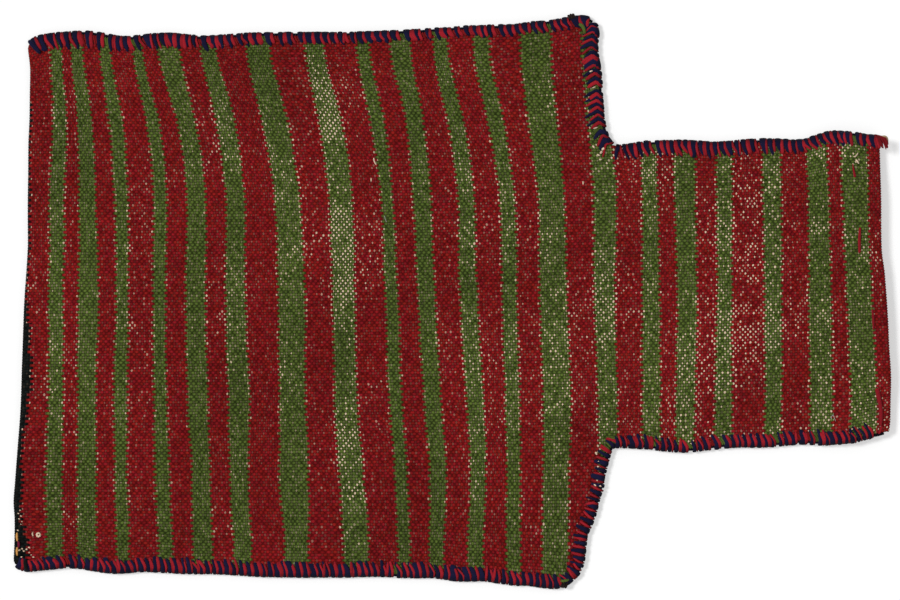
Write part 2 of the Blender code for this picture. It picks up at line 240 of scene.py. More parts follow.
MOUTH_EDGE = (
    (-103, 0.4), (-96, 1.3), (-80, 1.9), (-61, 2.5), (-42, 1.8), (-22, 1.5), (9, 0.2), (25, -1.4),
    (59, -0.8), (94, -0.4), (103, -0.6),
)
UPPER_SHOULDER = ((103, 0.0), (116, -1.1), (128, -0.9), (148, -0.3), (166, -1.6), (178, -0.1), (184, -1.0))
LOWER_SHOULDER = (
    (-184, -3.2), (-178, -0.3), (-172, 1.2), (-163, -0.6), (-155, -2.1), (-145, -0.6), (-134, -1.5),
    (-129, -1.2), (-122, -2.8), (-115, -3.3), (-108, -3.6), (-103, -2.0),
)
EDGE_STRIP = 0.0450
SHOULDER_CLEAR = 0.0020

# How far the overcast draws in the body's outer corners: at the fold above and below, then at the
# shoulders above and below
CORNER_ROUND = {(False, True): 0.0055, (False, False): 0.0040, (True, True): 0.0070, (True, False): 0.0080}

# The woven stripes: for each green band its left and its right edge, in millimetres of X at each
# of the heights
STRIPE_HEIGHTS = (-168, -116, -62, 4, 76, 125, 172)
BODY_STRIPES = (
    ((-281, -281.5, -278.5, -279, -279, -277, -278.5), (-270.5, -271, -270, -270, -269.5, -266.5, -269.5)),
    ((-259.5, -259.5, -259, -258.5, -257.5, -259, -264), (-246.5, -246.5, -246.5, -245, -247, -249.5, -256)),
    ((-232, -233, -234, -232.5, -233.5, -237.5, -243), (-224.5, -225.5, -225, -224.5, -224.5, -228, -237)),
    ((-206, -208, -208, -208.5, -208.5, -214, -222.5), (-193.5, -195.5, -197.5, -198, -197.5, -202.5, -214)),
    ((-179.5, -179.5, -182.5, -184, -183.5, -190, -204), (-167.5, -169, -170.5, -172, -172.5, -179, -190.5)),
    ((-152, -154.5, -156, -157.5, -157.5, -164, -174), (-139, -140.5, -139.5, -142.5, -143.5, -149.5, -163)),
    ((-116, -120.5, -119.5, -121, -123, -132, -142.5), (-101.5, -101, -103.5, -103, -107.5, -115.5, -128)),
    ((-77, -80, -83, -84, -87, -93.5, -102.5), (-57.5, -61.5, -66, -67, -69, -76, -89)),
    ((-39, -41, -45, -47.5, -50.5, -58.5, -67), (-30, -33, -36.5, -39, -42.5, -48, -58)),
    ((-17, -17, -21.5, -25.5, -28.5, -34, -44.5), (-6.5, -4.5, -9, -12.5, -15.5, -20.5, -28.5)),
    ((9.5, 12, 9, 4.5, 3, -4, -13.5), (20, 22, 20, 15.5, 13, 6, -4.5)),
    ((35.5, 36, 35, 33, 31, 22.5, 13.5), (46.5, 46, 45.5, 44, 42, 34.5, 24.5)),
    ((62, 62.5, 62.5, 60, 59, 52, 46.5), (79, 79, 81, 78, 75.5, 70.5, 67.5)),
    ((98, 100.5, 99, 97, 95.5, 92.5, 88), (113, 114, 113.5, 111.5, 113, 107.5, 103.5)),
)
NECK_HEIGHTS = (-78, 4, 93)
STRIPE_RUN_ON = 15
NECK_STRIPES = (
    ((130, 130, 130), (144, 142, 140.5)),
    ((154.5, 155.5, 153), (167.5, 168.5, 168)),
    ((179.5, 181.5, 181.5), (194.5, 193.5, 195)),
    ((215, 214, 212.5), (227.5, 227, 227)),
    ((247, 246, 245.5), (262, 261, 259)),
    ((274.5, 271, 267.5), (293.5, 289, 287)),
)

# The weft's pitch, the warp ribs, the soft lumps, and how finely the cloth is divided
WEFT_PITCH = 0.00172
NECK_RIBS = 56
BODY_RIBS = 100
RIB_HEIGHT = 0.00022
RIM_SCALLOP = 0.0005
LUMP_HEIGHT = 0.0005
LUMP_SIZE = 0.045
TOP_STEP = 0.0090
BOTTOM_STEP = 0.0240
TURN_STEPS = 6

LENGTH = BODY_LENGTH + NECK_LENGTH
half_body = BODY_WIDTH / 2
half_neck = NECK_WIDTH / 2
hem_stack = CLOTH_THICKNESS + LAYER_GAP
seam_lift = STITCH_YARN + CLEARANCE


def clamped(share):
    return min(max(share, 0.0), 1.0)


def ease(share):
    """0 before the start of a rise, 1 after its end and smooth between."""
    share = clamped(share)
    return share * share * (3 - 2 * share)


def smooth_between(stops, values, at):
    """The value at a place among stops, by a smooth curve through each stop's value."""
    after = min(max(bisect.bisect_right(stops, at), 1), len(stops) - 1)
    share = clamped((at - stops[after - 1]) / (stops[after] - stops[after - 1]))
    first, second = values[after - 1], values[after]
    slope_in = (second - values[max(after - 2, 0)]) / 2
    slope_out = (values[min(after + 1, len(values) - 1)] - first) / 2
    rise = second - first
    curve = (slope_in + slope_out - 2 * rise) * share + 3 * rise - 2 * slope_in - slope_out
    return first + share * (slope_in + share * curve)


def wander(marks, at):
    stops = [mark[0] for mark in marks]
    values = [mark[1] for mark in marks]
    return MM * smooth_between(stops, values, at / MM)


def outer_share(t):
    """0 on the strip that runs on into the neck, 1 on the body's long edges."""
    return max(0.0, (abs(t) - half_neck) / (half_body - half_neck))


def frame_plan(s, t):
    """Where the woven point lies in the frame, seen from above."""
    lean = max(0.0, (FOLD_LEAN_START - t) / (FOLD_LEAN_START + half_body))
    fold_x = FOLD_X - FOLD_LEAN * lean
    if t > 0:
        pull = UPPER_SHOULDER_PULL * outer_share(t) ** UPPER_PULL_SHAPE
        flare = UPPER_FLARE
    else:
        pull = LOWER_SHOULDER_PULL * outer_share(t)
        flare = -LOWER_FLARE
    shoulder_x = FOLD_X + BODY_LENGTH - pull
    mouth_x = FOLD_X + LENGTH - MOUTH_LEAN * (0.5 + t / NECK_WIDTH)
    along = clamped(s / BODY_LENGTH)
    if s <= BODY_LENGTH:
        x = fold_x + s / BODY_LENGTH * (shoulder_x - fold_x)
    else:
        x = shoulder_x + (s - BODY_LENGTH) / NECK_LENGTH * (mouth_x - shoulder_x)
    middle = MIDDLE_AT_FOLD + NECK_RISE * (max(s, 0.0) / LENGTH) ** 2
    return x, middle + t + flare * along**2 * outer_share(t)


def rounded(s, t):
    """The woven point that a point near an outer corner of the body is drawn in to."""
    at_shoulder = s > BODY_LENGTH / 2
    radius = CORNER_ROUND[at_shoulder, t > 0]
    from_end = BODY_LENGTH - s if at_shoulder else s
    from_side = half_body - abs(t)
    if s > BODY_LENGTH or max(from_end, from_side) >= radius:
        return s, t
    lengthwise, crosswise = 1 - from_end / radius, 1 - from_side / radius
    drawn = max(lengthwise, crosswise) / math.hypot(lengthwise, crosswise)
    from_end = radius * (1 - lengthwise * drawn)
    from_side = radius * (1 - crosswise * drawn)
    return (BODY_LENGTH - from_end if at_shoulder else from_end), math.copysign(half_body - from_side, t)


def plan(s, t):
    """The same with the edges' small wanderings, which die out inside, and the rounded corners."""
    s, t = rounded(s, t)
    x, y = frame_plan(s, t)
    past_shoulder = ease((s - BODY_LENGTH) / SHOULDER_CLEAR)
    if outer_share(t) > 0 or s < BODY_LENGTH:
        near = ease((abs(t) - half_body + EDGE_STRIP) / EDGE_STRIP)
        y += near * wander(UPPER_SIDE if t > 0 else LOWER_SIDE, s)
        in_shoulder = ease((s - BODY_LENGTH + EDGE_STRIP) / EDGE_STRIP)
        x += in_shoulder * wander(UPPER_SHOULDER if t > 0 else LOWER_SHOULDER, t) * (abs(t) > half_neck)
    if past_shoulder > 0:
        near = ease((abs(t) - half_neck + EDGE_STRIP) / EDGE_STRIP)
        y += past_shoulder * near * wander(UPPER_NECK if t > 0 else LOWER_NECK, s)
    x += ease(1 - s / EDGE_STRIP) * wander(FOLD_EDGE, t)
    x += ease((s - LENGTH + EDGE_STRIP) / EDGE_STRIP) * wander(MOUTH_EDGE, t)
    return x, y


def seam_distance(s, t):
    """How far the woven point is from the nearest sewn edge."""
    if s > BODY_LENGTH:
        return max(0.0, half_neck - abs(t))
    to_side = half_body - abs(t)
    to_shoulder = math.hypot(BODY_LENGTH - s, max(0.0, half_neck - abs(t)))
    return max(0.0, min(to_side, to_shoulder))


def freed(s, t):
    """0 under the overcast, where the layers are held together, 1 where they lie free."""
    return ease((seam_distance(s, t) - SEAM_DEPTH) / POCKET_RISE)


def pocket(s, t):
    """The clear height between the two layers, with room for both hems towards the mouth."""
    hem = ease((s - (LENGTH - HEM_DEPTH - HEM_RAMP)) / HEM_RAMP)
    at_seam = LAYER_GAP + 2 * hem_stack * hem
    inside = FOLD_GAP + (POCKET_GAP - FOLD_GAP) * ease(s / FOLD_RISE)
    inside += (MOUTH_CLEAR + 2 * hem_stack - inside) * hem
    return at_seam + (inside - at_seam) * freed(s, t)


def bottom_z(s, t):
    """The middle of the lower layer, flat on the floor inside and lifted where it is sewn."""
    return CLOTH_THICKNESS / 2 + RIB_HEIGHT / 2 + seam_lift * (1 - freed(s, t))


def top_z(s, t):
    """The middle of the upper layer, with the slack and the soft lumps of an empty bag."""
    free = freed(s, t) * ease((LENGTH - HEM_DEPTH - HEM_RAMP - s) / HEM_RAMP)
    first, second = (math.sin(lengthwise * s + crosswise * t) for lengthwise, crosswise in SLACK_WAVES)
    slack = CLOTH_SLACK * free * first * second
    lump = LUMP_HEIGHT * free * noise.noise(Vector((s, t, 0)) / LUMP_SIZE)
    return bottom_z(s, t) + CLOTH_THICKNESS + pocket(s, t) + slack + lump


def stripe_edges(y):
    """X of the fold, of each colour change and of the mouth, at a height y of the picture."""
    edges = []
    for heights, stripes in ((STRIPE_HEIGHTS, BODY_STRIPES), (NECK_HEIGHTS, NECK_STRIPES)):
        at = min(max(y / MM, heights[0] - STRIPE_RUN_ON), heights[-1] + STRIPE_RUN_ON)
        for stripe in stripes:
            edges += [MM * smooth_between(heights, values, at) for values in stripe]
    t = min(max(y - MIDDLE_AT_FOLD, -half_body), half_body)
    edges.insert(0, plan(0.0, t)[0])
    edges.append(plan(LENGTH, min(max(t - NECK_RISE, -half_neck), half_neck))[0])
    return edges


middle_edges = stripe_edges(0.004)
woven_edges = [x - middle_edges[0] for x in middle_edges]


def woven_distance(x, edges):
    """The weft's own place along the warp, which is what the colour follows."""
    after = min(max(bisect.bisect_right(edges, x), 1), len(edges) - 1)
    share = (x - edges[after - 1]) / (edges[after] - edges[after - 1])
    return woven_edges[after - 1] + share * (woven_edges[after] - woven_edges[after - 1])


def turn(lower, upper, share, outward):
    """A point on the half circle by which the cloth turns over, and the way out there."""
    radius = (upper.z - lower.z) / 2
    angle = math.pi * share
    way = Vector((outward * math.sin(angle), 0, math.cos(angle)))
    return (lower + upper) / 2 + Vector((way.x * radius, 0, way.z * radius)), way


def on_top(s, t):
    return Vector((*plan(s, t), top_z(s, t))), UP


def on_bottom(s, t):
    return Vector((*plan(s, t), bottom_z(s, t))), -UP


def in_top_hem(s, t):
    return on_top(s, t)[0] - UP * hem_stack, -UP


def in_bottom_hem(s, t):
    return on_bottom(s, t)[0] + UP * hem_stack, UP


def top_mouth(share, t):
    return turn(in_top_hem(LENGTH, t)[0], on_top(LENGTH, t)[0], share, 1)


def bottom_mouth(share, t):
    return turn(on_bottom(LENGTH, t)[0], in_bottom_hem(LENGTH, t)[0], 1 - share, 1)


def at_fold(share, t):
    return turn(on_bottom(0.0, t)[0], on_top(0.0, t)[0], share, -1)


def evenly(start, end, step):
    count = max(1, round(abs(end - start) / step))
    return [start + (end - start) * number / count for number in range(count + 1)]


def cloth_lines():
    """The lines across the cloth, from the hem inside the upper layer round to the other hem.
    Each has its place function, its measure there and its woven distance, None where that is
    read from the stripes."""
    hem_start = LENGTH - HEM_DEPTH
    mouth_woven = woven_edges[-1]
    mouth_turn = math.pi * hem_stack / 2
    fold_turn = math.pi * (FOLD_GAP + CLOTH_THICKNESS) / 2
    shares = [number / TURN_STEPS for number in range(1, TURN_STEPS)]
    lines = []
    for s in evenly(hem_start, LENGTH, TOP_STEP):
        lines.append((in_top_hem, s, mouth_woven + mouth_turn + LENGTH - s))
    lines += [(top_mouth, 1 - share, mouth_woven + mouth_turn * (1 - share)) for share in shares]
    lines += [(on_top, s, None) for s in evenly(LENGTH, BODY_LENGTH, TOP_STEP)]
    lines += [(on_top, s, None) for s in evenly(BODY_LENGTH, 0.0, TOP_STEP)[1:]]
    lines += [(at_fold, share, -fold_turn * share) for share in shares]
    lines += [(on_bottom, s, -fold_turn - s) for s in evenly(0.0, BODY_LENGTH, BOTTOM_STEP)]
    lines += [(on_bottom, s, -fold_turn - s) for s in evenly(BODY_LENGTH, LENGTH, BOTTOM_STEP)[1:]]
    lines += [(bottom_mouth, share, -fold_turn - LENGTH - mouth_turn * share) for share in shares]
    for s in evenly(LENGTH, hem_start, TOP_STEP):
        lines.append((in_bottom_hem, s, -fold_turn - LENGTH - mouth_turn - (LENGTH - s)))
    return lines


def rib_place(rib):
    """The distance from the middle line of a place counted in warp ribs."""
    past_neck = max(0.0, abs(rib) - NECK_RIBS)
    inside = min(abs(rib), NECK_RIBS) * half_neck / NECK_RIBS
    return math.copysign(inside + past_neck * (half_body - half_neck) / (BODY_RIBS - NECK_RIBS), rib)


def ramp(tree, position, stops, interpolation="CONSTANT"):
    """A colour ramp whose stops are pairs of a position and a colour with its alpha."""
    made = node(tree, "ShaderNodeValToRGB", {0: position})
    made.color_ramp.interpolation = interpolation
    elements = made.color_ramp.elements
    while len(elements) < len(stops):
        elements.new(1.0)
    for element, (at, _) in zip(elements, stops):
        element.position = at
    for element, (_, colour) in zip(elements, stops):
        element.color = colour
    return made.outputs


MADDER = (0.208, 0.0075, 0.0085)
LEAF = (0.076, 0.112, 0.0200)
NEAR_BLACK = (0.0065, 0.0090, 0.0085)
IVORY = (0.70, 0.53, 0.38)

# Soft noises over the cloth, each with the scale of its waves and its reach, and a rib's own shift
RIB_WAVER = (240.0, 0.12)
WEFT_DRIFT = (34.0, 0.0006)
WEFT_WAVE = (300.0, 0.0002)
IVORY_PATCHES = (16.0, 1.1)
TONE_CLOUDS = (9.0, 0.16)
WOOL_FUZZ = (1100.0, 0.22)
RIB_STRAY = 0.0006

# A bead of weft: its half length and width, its painted shade in the chink and its painted
# highlight on the crest, and how the shader tells red, near black and a change of colour
BEAD_HALF = (0.68, 0.57)
BEAD_TONE, BEAD_SPREAD = 0.74, 0.52
RED_CHINK_SHADE = 0.50
GREEN_CHINK_SHADE = 0.34
BEAD_CREST_HIGHLIGHT = 1.18
BEAD_HUE, HUE_SPREAD = 0.497, 0.006
RED_FROM = 0.15
BLACK_BELOW = 0.03
COLOUR_STEP = 0.03

# A dot of ivory warp: how surely it shows, its size and how full its colour is
IVORY_LEVEL, IVORY_LEAST = 0.95, 0.15
IVORY_INSIDE, INSIDE_POWER = 1.12, 6.0
IVORY_AT_CHANGE = 0.20
IVORY_ON_BLACK = 0.12
IVORY_HINT = 0.20
GREEN_HINT = 0.40
DOT_SURENESS = 2.1
DOT_SIZE, DOT_SPREAD = 0.34, 0.16
DOT_NARROWING = 0.84
DOT_RIM = 1.8
DOT_RISE = 0.8
FAINT_FULLNESS, FULLNESS_GAIN = 0.50, 0.48
FAINT_GLOW = 2.6

# How often the ivory warp shows, in each red and each green band by turns from the fold
BODY_IVORY = (
    0.20, 0.30, 0.26, 0.22, 0.14, 0.20, 0.24, 0.16, 0.14, 0.22, 0.22, 0.30, 0.12, 0.34, 0.30, 0.85,
    0.30, 0.14, 0.16, 0.24, 0.20, 0.34, 0.24, 0.34, 0.24, 0.36, 0.20, 0.40,
)
NECK_IVORY = (0.30, 0.46, 0.30, 0.42, 0.42, 0.54, 0.44, 0.50, 0.36, 0.50, 0.26, 0.52, 0.48)

# The edge of the near-black band at the fold: distance across, and woven distance, in millimetres
DARK_EDGE = (
    (-184, 5.0), (-173, 6.0), (-165, 5.3), (-157, 2.9), (-147, 1.7), (-138, 1.2), (-122, 1.2),
    (-96, 0.1), (-67, 2.4), (-50, 3.0), (-30, 2.4), (-15, 1.0), (0, -0.9), (60, -1.3), (120, -1.7),
    (150, -3.2), (184, -4.0),
)
DARK_SPAN = 13.0
DARK_ON_BACK = 0.0260

# The bands of the body, and how far past the mouth the last one of the neck runs
BODY_BANDS = 2 * len(BODY_STRIPES)
NECK_RUN_ON = 0.0400


def band_stops(edges, shares, start, extent):
    """Ramp stops for the bands between woven edges, with each band's share of ivory as alpha."""
    stops = []
    for number, (edge, share) in enumerate(zip(edges, shares)):
        colour = LEAF if number % 2 else MADDER
        stops.append((clamped((edge - start) / extent), (*colour, share)))
    return stops


def random_number(tree, first, second=0.0):
    """A random Number from 0 to 1, the same wherever the two numbers are the same."""
    pair = node(tree, "ShaderNodeCombineXYZ", {0: first, 1: second}).outputs[0]
    return reading(tree, "ShaderNodeTexWhiteNoise", {"Vector": pair}, "Value", noise_dimensions="2D")


def soft_noise(tree, scale):
    """Soft noise through space, about zero."""
    place = node(tree, "ShaderNodeTexCoord").outputs["Object"]
    return reading(tree, "ShaderNodeTexNoise", {"Vector": place, "Scale": scale, "Detail": 3.0}) - 0.5


def toned(tree, **inputs):
    """A colour with its hue or its brightness changed."""
    return node(tree, "ShaderNodeHueSaturation", inputs).outputs[0]


def wool_surface(tree, shader, tone, height, relief, depth, roughness, gloss, sheen):
    """Gives a shader its colour, its bumps and the dull surface of wool."""
    bump = node(tree, "ShaderNodeBump", {"Strength": relief, "Distance": depth, "Height": height})
    tree.links.new(tone, shader.inputs["Base Color"])
    tree.links.new(bump.outputs[0], shader.inputs["Normal"])
    shader.inputs["Roughness"].default_value = roughness
    shader.inputs["Specular IOR Level"].default_value = gloss
    shader.inputs["Sheen Weight"].default_value = sheen
    shader.inputs["Sheen Roughness"].default_value = 0.5


def weave_material():
    """Beads of weft over each warp rib, half a step apart on neighbouring ribs, with ivory warp
    showing here and there between two beads. A bead has the colour of the weft that it is of."""
    wool, tree, shader = new_material("striped wool weave")
    weave = node(tree, "ShaderNodeUVMap", uv_map="weave").outputs[0]
    parts = node(tree, "ShaderNodeSeparateXYZ", {0: weave}).outputs
    distance, ribs = Number(parts["X"]), Number(parts["Y"])

    def chance(first, second):
        return random_number(tree, first, second)

    def cloudy(scale, reach):
        """Soft noise over the cloth, from -reach to reach about zero."""
        return soft_noise(tree, scale) * (4.0 * reach)

    def dome(first, first_reach, second, second_reach):
        """1 in the middle of an oval, 0 at its rim and outside."""
        left = 1.0 - (first / first_reach) ** 2.0 - (second / second_reach) ** 2.0
        return left.at_least(0.0).root()

    def mix(factor, first, second):
        inputs = {"Factor": factor, 6: first, 7: second}
        return node(tree, "ShaderNodeMix", inputs, data_type="RGBA").outputs[2]

    def blend(factor, first, second):
        return reading(tree, "ShaderNodeMix", {0: factor, 2: first, 3: second}, data_type="FLOAT")

    # The bead: its rib, its count along the rib, and the place in it
    wavy = ribs + cloudy(*RIB_WAVER)
    rib = math.floor(wavy)
    across = wavy - rib - 0.5
    odd = rib % 2.0
    stray = (chance(rib, 0.5) - 0.5) * RIB_STRAY
    woven = distance + cloudy(*WEFT_DRIFT) + stray + cloudy(*WEFT_WAVE)
    count = (woven / WEFT_PITCH + odd) / 2.0 - 0.25
    before = math.floor(count)
    past = count - before
    nearer = past > 0.5
    bead = before + nearer
    along = (count - bead) * 2.0
    gap = past * 2.0 - 1.0

    # The colour of its weft: red or green by the bands, near black round the fold
    stops = []
    for across_mm, woven_mm in DARK_EDGE:
        level = (woven_mm + DARK_SPAN / 2) / DARK_SPAN
        stops.append((clamped((across_mm * MM + half_body) / BODY_WIDTH), (level, level, level, 1)))
    across_cloth = (ribs + BODY_RIBS) / (2.0 * BODY_RIBS)
    edge_level = Number(ramp(tree, across_cloth, stops, "LINEAR")["Color"])
    dark_edge = (edge_level - 0.5) * (DARK_SPAN * MM)
    body_span = woven_edges[BODY_BANDS]
    neck_span = woven_edges[-1] + NECK_RUN_ON - body_span

    def band_at(number):
        """The colour of the weft of a bead, and how often ivory shows beside it."""
        at = ((number + 0.25) * 2.0 - odd) * WEFT_PITCH
        stops = band_stops(woven_edges[:BODY_BANDS], BODY_IVORY, 0.0, body_span)
        body = ramp(tree, at / body_span, stops)
        stops = band_stops(woven_edges[BODY_BANDS:-1], NECK_IVORY, body_span, neck_span)
        neck = ramp(tree, (at - body_span) / neck_span, stops)
        in_neck = at > body_span
        dark = (at < dark_edge) * (at > -DARK_ON_BACK)
        colour = mix(dark, mix(in_neck, body["Color"], neck["Color"]), (*NEAR_BLACK, 1))
        return colour, blend(in_neck, body["Alpha"], neck["Alpha"])

    colour_before, ivory_before = band_at(before)
    colour_after, ivory_after = band_at(before + 1.0)
    ground = mix(nearer, colour_before, colour_after)
    pair = {0: colour_before, 1: colour_after}
    at_change = reading(tree, "ShaderNodeVectorMath", pair, "Value", operation="DISTANCE") > COLOUR_STEP
    redness = reading(tree, "ShaderNodeSeparateColor", {0: ground})
    is_red = redness > RED_FROM

    # The ivory: more of it in patches and where the colour changes, less towards the long edges
    patches = (cloudy(*IVORY_PATCHES) + IVORY_LEVEL).at_least(IVORY_LEAST)
    likely = patches * blend(nearer, ivory_before, ivory_after) + at_change * IVORY_AT_CHANGE
    likely = likely * (IVORY_INSIDE - (abs(ribs) / BODY_RIBS) ** INSIDE_POWER)
    strong = (likely - chance(before, rib)) * DOT_SURENESS
    faint = chance(rib, before) ** 3.0 * blend(is_red, GREEN_HINT, IVORY_HINT)
    strength = strong.at_least(faint).at_most(1.0) * blend(redness < BLACK_BELOW, 1.0, IVORY_ON_BLACK)
    size = chance(before + 0.5, rib) * DOT_SPREAD + DOT_SIZE
    dot = dome(gap, size * DOT_NARROWING, across, size)
    dot_seen = (dot * DOT_RIM).at_most(1.0) * strength

    # The tone: painted shade in the chinks and a painted highlight on the crest,
    # and a little different on each bead
    weft_bead = dome(along, BEAD_HALF[0], across, BEAD_HALF[1])
    value = chance(bead, rib + 0.5) * BEAD_SPREAD + BEAD_TONE + cloudy(*TONE_CLOUDS) + cloudy(*WOOL_FUZZ)
    # painted shade in the chinks between beads, painted highlight on each bead's crest
    bead_shading = blend(weft_bead, blend(is_red, GREEN_CHINK_SHADE, RED_CHINK_SHADE), BEAD_CREST_HIGHLIGHT)
    hue = chance(rib + 0.5, bead) * HUE_SPREAD + BEAD_HUE
    tinted = toned(tree, Hue=hue, Value=value * bead_shading, Color=ground)
    glow = toned(tree, Value=FAINT_GLOW, Color=ground)
    warp = mix(strength * FULLNESS_GAIN + FAINT_FULLNESS, glow, (*IVORY, 1))
    height = weft_bead + dot_seen * DOT_RISE
    tone = mix(dot_seen, tinted, warp)
    wool_surface(
        tree, shader, tone, height, relief=0.8, depth=0.0005, roughness=0.95, gloss=0.05, sheen=0.02
    )
    return wool


def make_cloth():
    """The cloth starts as a flat grid with two rows to each warp rib. It is cut to the shape of
    its two necks, folded over, ribbed and given its thickness."""
    lines = cloth_lines()
    ribs = [number / 2 - BODY_RIBS for number in range(4 * BODY_RIBS + 1)]
    columns = len(lines) - 1
    ranks = len(ribs) - 1
    work = bmesh.new()
    bmesh.ops.create_grid(work, x_segments=columns, y_segments=ranks, size=1.0)
    place = {}
    for vert in work.verts:
        place[vert] = (round((vert.co.x + 1) / 2 * columns), round((vert.co.y + 1) / 2 * ranks))
    only_neck = []
    for locate, measure, _ in lines:
        in_body = locate is at_fold or (locate in (on_top, on_bottom) and measure < BODY_LENGTH + MM)
        only_neck.append(not in_body)
    beside_neck = []
    for face in work.faces:
        outermost = max(abs(ribs[place[vert][1]]) for vert in face.verts)
        if outermost > NECK_RIBS and any(only_neck[place[vert][0]] for vert in face.verts):
            beside_neck.append(face)
    bmesh.ops.delete(work, geom=beside_neck, context="FACES")
    woven = {}
    for vert in work.verts:
        column, rank = place[vert]
        locate, measure, distance = lines[column]
        rib = ribs[rank]
        spot, way = locate(measure, rib_place(rib))
        crest = 1 if rank % 2 else -1
        rise = RIM_SCALLOP if locate in (top_mouth, bottom_mouth) else RIB_HEIGHT
        vert.co = spot + way * crest * rise / 2
        if distance is None:
            distance = woven_distance(spot.x, stripe_edges(spot.y))
        woven[vert] = (distance, rib)
    layer = work.loops.layers.uv.new("weave")
    for face in work.faces:
        face.smooth = True
        for corner in face.loops:
            corner[layer].uv = woven[corner.vert]
    bmesh.ops.recalc_face_normals(work, faces=work.faces)
    made = link("striped_cloth", mesh_of("striped_cloth", work), [weave_material()])
    shell = made.modifiers.new("Thickness", "SOLIDIFY")
    shell.thickness = CLOTH_THICKNESS
    shell.offset = 0.0
    return made


cloth = make_cloth()
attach(cloth, "root")
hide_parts("woven_bag_cloth")

# The overcast: two wool yarns, one navy and one bright red, wound by turns over the edges of both
# layers and through them. They hold the sides, the shoulders and the neck together.
RIM = 0.0029
EDGE_SAMPLE = 0.0020
CREST_PLACE = 0.22
YARN_SIDES = 8
NAVY = (0.0085, 0.0085, 0.0360)
BRIGHT_RED = (0.330, 0.0125, 0.0210)
YARN_TWIST = 0.55
YARN_FUZZ = 1900.0
YARN_TONE, STITCH_SPREAD = 0.55, 0.40
STRAND_SHADING = 0.35
DEEP_SHADE = 0.78
rng = random.Random(41)


def yarn_material(name, colour):
    """Plied wool: the strands run slantwise round the yarn, painted lighter on their crests and
    darker between them as shade, and each stitch has its own tone. Where the mesh's shade attribute
    says so, the yarn is darkened further as painted shade.
    """
    wool, tree, shader = new_material(name)
    uv = node(tree, "ShaderNodeUVMap", uv_map="yarn").outputs[0]
    parts = node(tree, "ShaderNodeSeparateXYZ", {0: uv}).outputs
    around, along = Number(parts["X"]), Number(parts["Y"])
    strand = abs(((around.fraction() + along * YARN_TWIST) * math.tau).sine())
    fuzz = soft_noise(tree, YARN_FUZZ)
    value = random_number(tree, math.floor(around)) * STITCH_SPREAD + YARN_TONE
    # painted shade: the strands lighter on their crests and darker between them
    value = value + strand * STRAND_SHADING + fuzz * 0.8
    # painted shade from the shade attribute, deepest where the yarn turns over a rim
    deep = reading(tree, "ShaderNodeAttribute", output="Fac", attribute_name="shade")
    value = value * (1.0 - deep * DEEP_SHADE)
    tone = toned(tree, Value=value, Color=(*colour, 1))
    height = strand + fuzz * 0.5
    wool_surface(
        tree, shader, tone, height, relief=0.7, depth=0.0003, roughness=0.92, gloss=0.08, sheen=0.03
    )
    return wool


navy_yarn = yarn_material("navy wool yarn", NAVY)
red_yarn = yarn_material("bright red wool yarn", BRIGHT_RED)
leaf_weft = yarn_material("green weft", LEAF)
madder_weft = yarn_material("red weft", MADDER)
tubes = {}


def straight_tube(rings):
    """A closed tube with so many rings, and each corner's ring and place round the yarn."""
    if rings not in tubes:
        work = bmesh.new()
        bmesh.ops.create_cone(
            work, cap_ends=True, segments=YARN_SIDES, radius1=1.0, radius2=1.0, depth=rings - 1
        )
        upright = [edge for edge in work.edges if abs(edge.verts[0].co.z - edge.verts[1].co.z) > 0.5]
        bmesh.ops.subdivide_edges(work, edges=upright, cuts=rings - 2, use_grid_fill=True)
        for face in work.faces:
            face.smooth = True
        work.loops.layers.uv.new("yarn")
        mesh = mesh_of("straight_tube", work)
        marks = []
        for vert in mesh.vertices:
            turned = math.atan2(vert.co.y, vert.co.x) % math.tau / math.tau
            marks.append((round(vert.co.z + (rings - 1) / 2), round(turned * YARN_SIDES) % YARN_SIDES))
        tubes[rings] = (mesh, marks)
    return tubes[rings]


def add_yarn(work, path, side, widths, thickness, slot=0, shades=None):
    """Bends a copy of the straight tube along a path. It is widths wide along side, or level where
    side is None, and thickness thick. Shades tell how deep in shade each ring lies."""
    tube, marks = straight_tube(len(path))
    work.from_mesh(tube)
    work.verts.ensure_lookup_table()
    work.faces.ensure_lookup_table()
    fresh = work.verts[-len(tube.vertices):]
    frames = []
    aside = Vector((1, 0, 0))
    run = 0.0
    for number, spot in enumerate(path):
        ahead = path[min(number + 1, len(path) - 1)]
        behind = path[max(number - 1, 0)]
        forward = (ahead - behind).normalized()
        level = side or UP.cross(forward)
        if level.length > 0.05:
            aside = (level - forward * level.dot(forward)).normalized()
        if number:
            run += (spot - path[number - 1]).length
        frames.append((spot, aside, forward.cross(aside), run))
    for vert, (ring, corner) in zip(fresh, marks):
        spot, aside, up, _ = frames[ring]
        angle = corner / YARN_SIDES * math.tau
        swell = widths[ring]
        flat = min(1.0, swell / max(widths) + 0.25)
        wide, high = swell / 2 * math.cos(angle), thickness / 2 * flat * math.sin(angle)
        vert.co = spot + aside * wide + up * high
        vert[work.verts.layers.float["shade"]] = shades[ring] if shades else 0.0
    layer = work.loops.layers.uv["yarn"]
    number = rng.randrange(1, 400)
    mark_of = dict(zip(fresh, marks))
    for face in work.faces[-len(tube.polygons):]:
        face.material_index = slot
        corners = [mark_of[corner.vert][1] for corner in face.loops]
        over_seam = 0 in corners and YARN_SIDES - 1 in corners
        for corner in face.loops:
            ring, at = mark_of[corner.vert]
            if over_seam and at == 0:
                at = YARN_SIDES
            corner[layer].uv = (number + 0.99 * at / YARN_SIDES, frames[ring][3] / MM)


def yarn_object(name, work, materials, replaced):
    bmesh.ops.recalc_face_normals(work, faces=work.faces)
    made = link(name, mesh_of(name, work), materials)
    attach(made, "root")
    if replaced:
        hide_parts(replaced)
    return made


def new_work():
    work = bmesh.new()
    work.loops.layers.uv.new("yarn")
    work.verts.layers.float.new("shade")
    return work


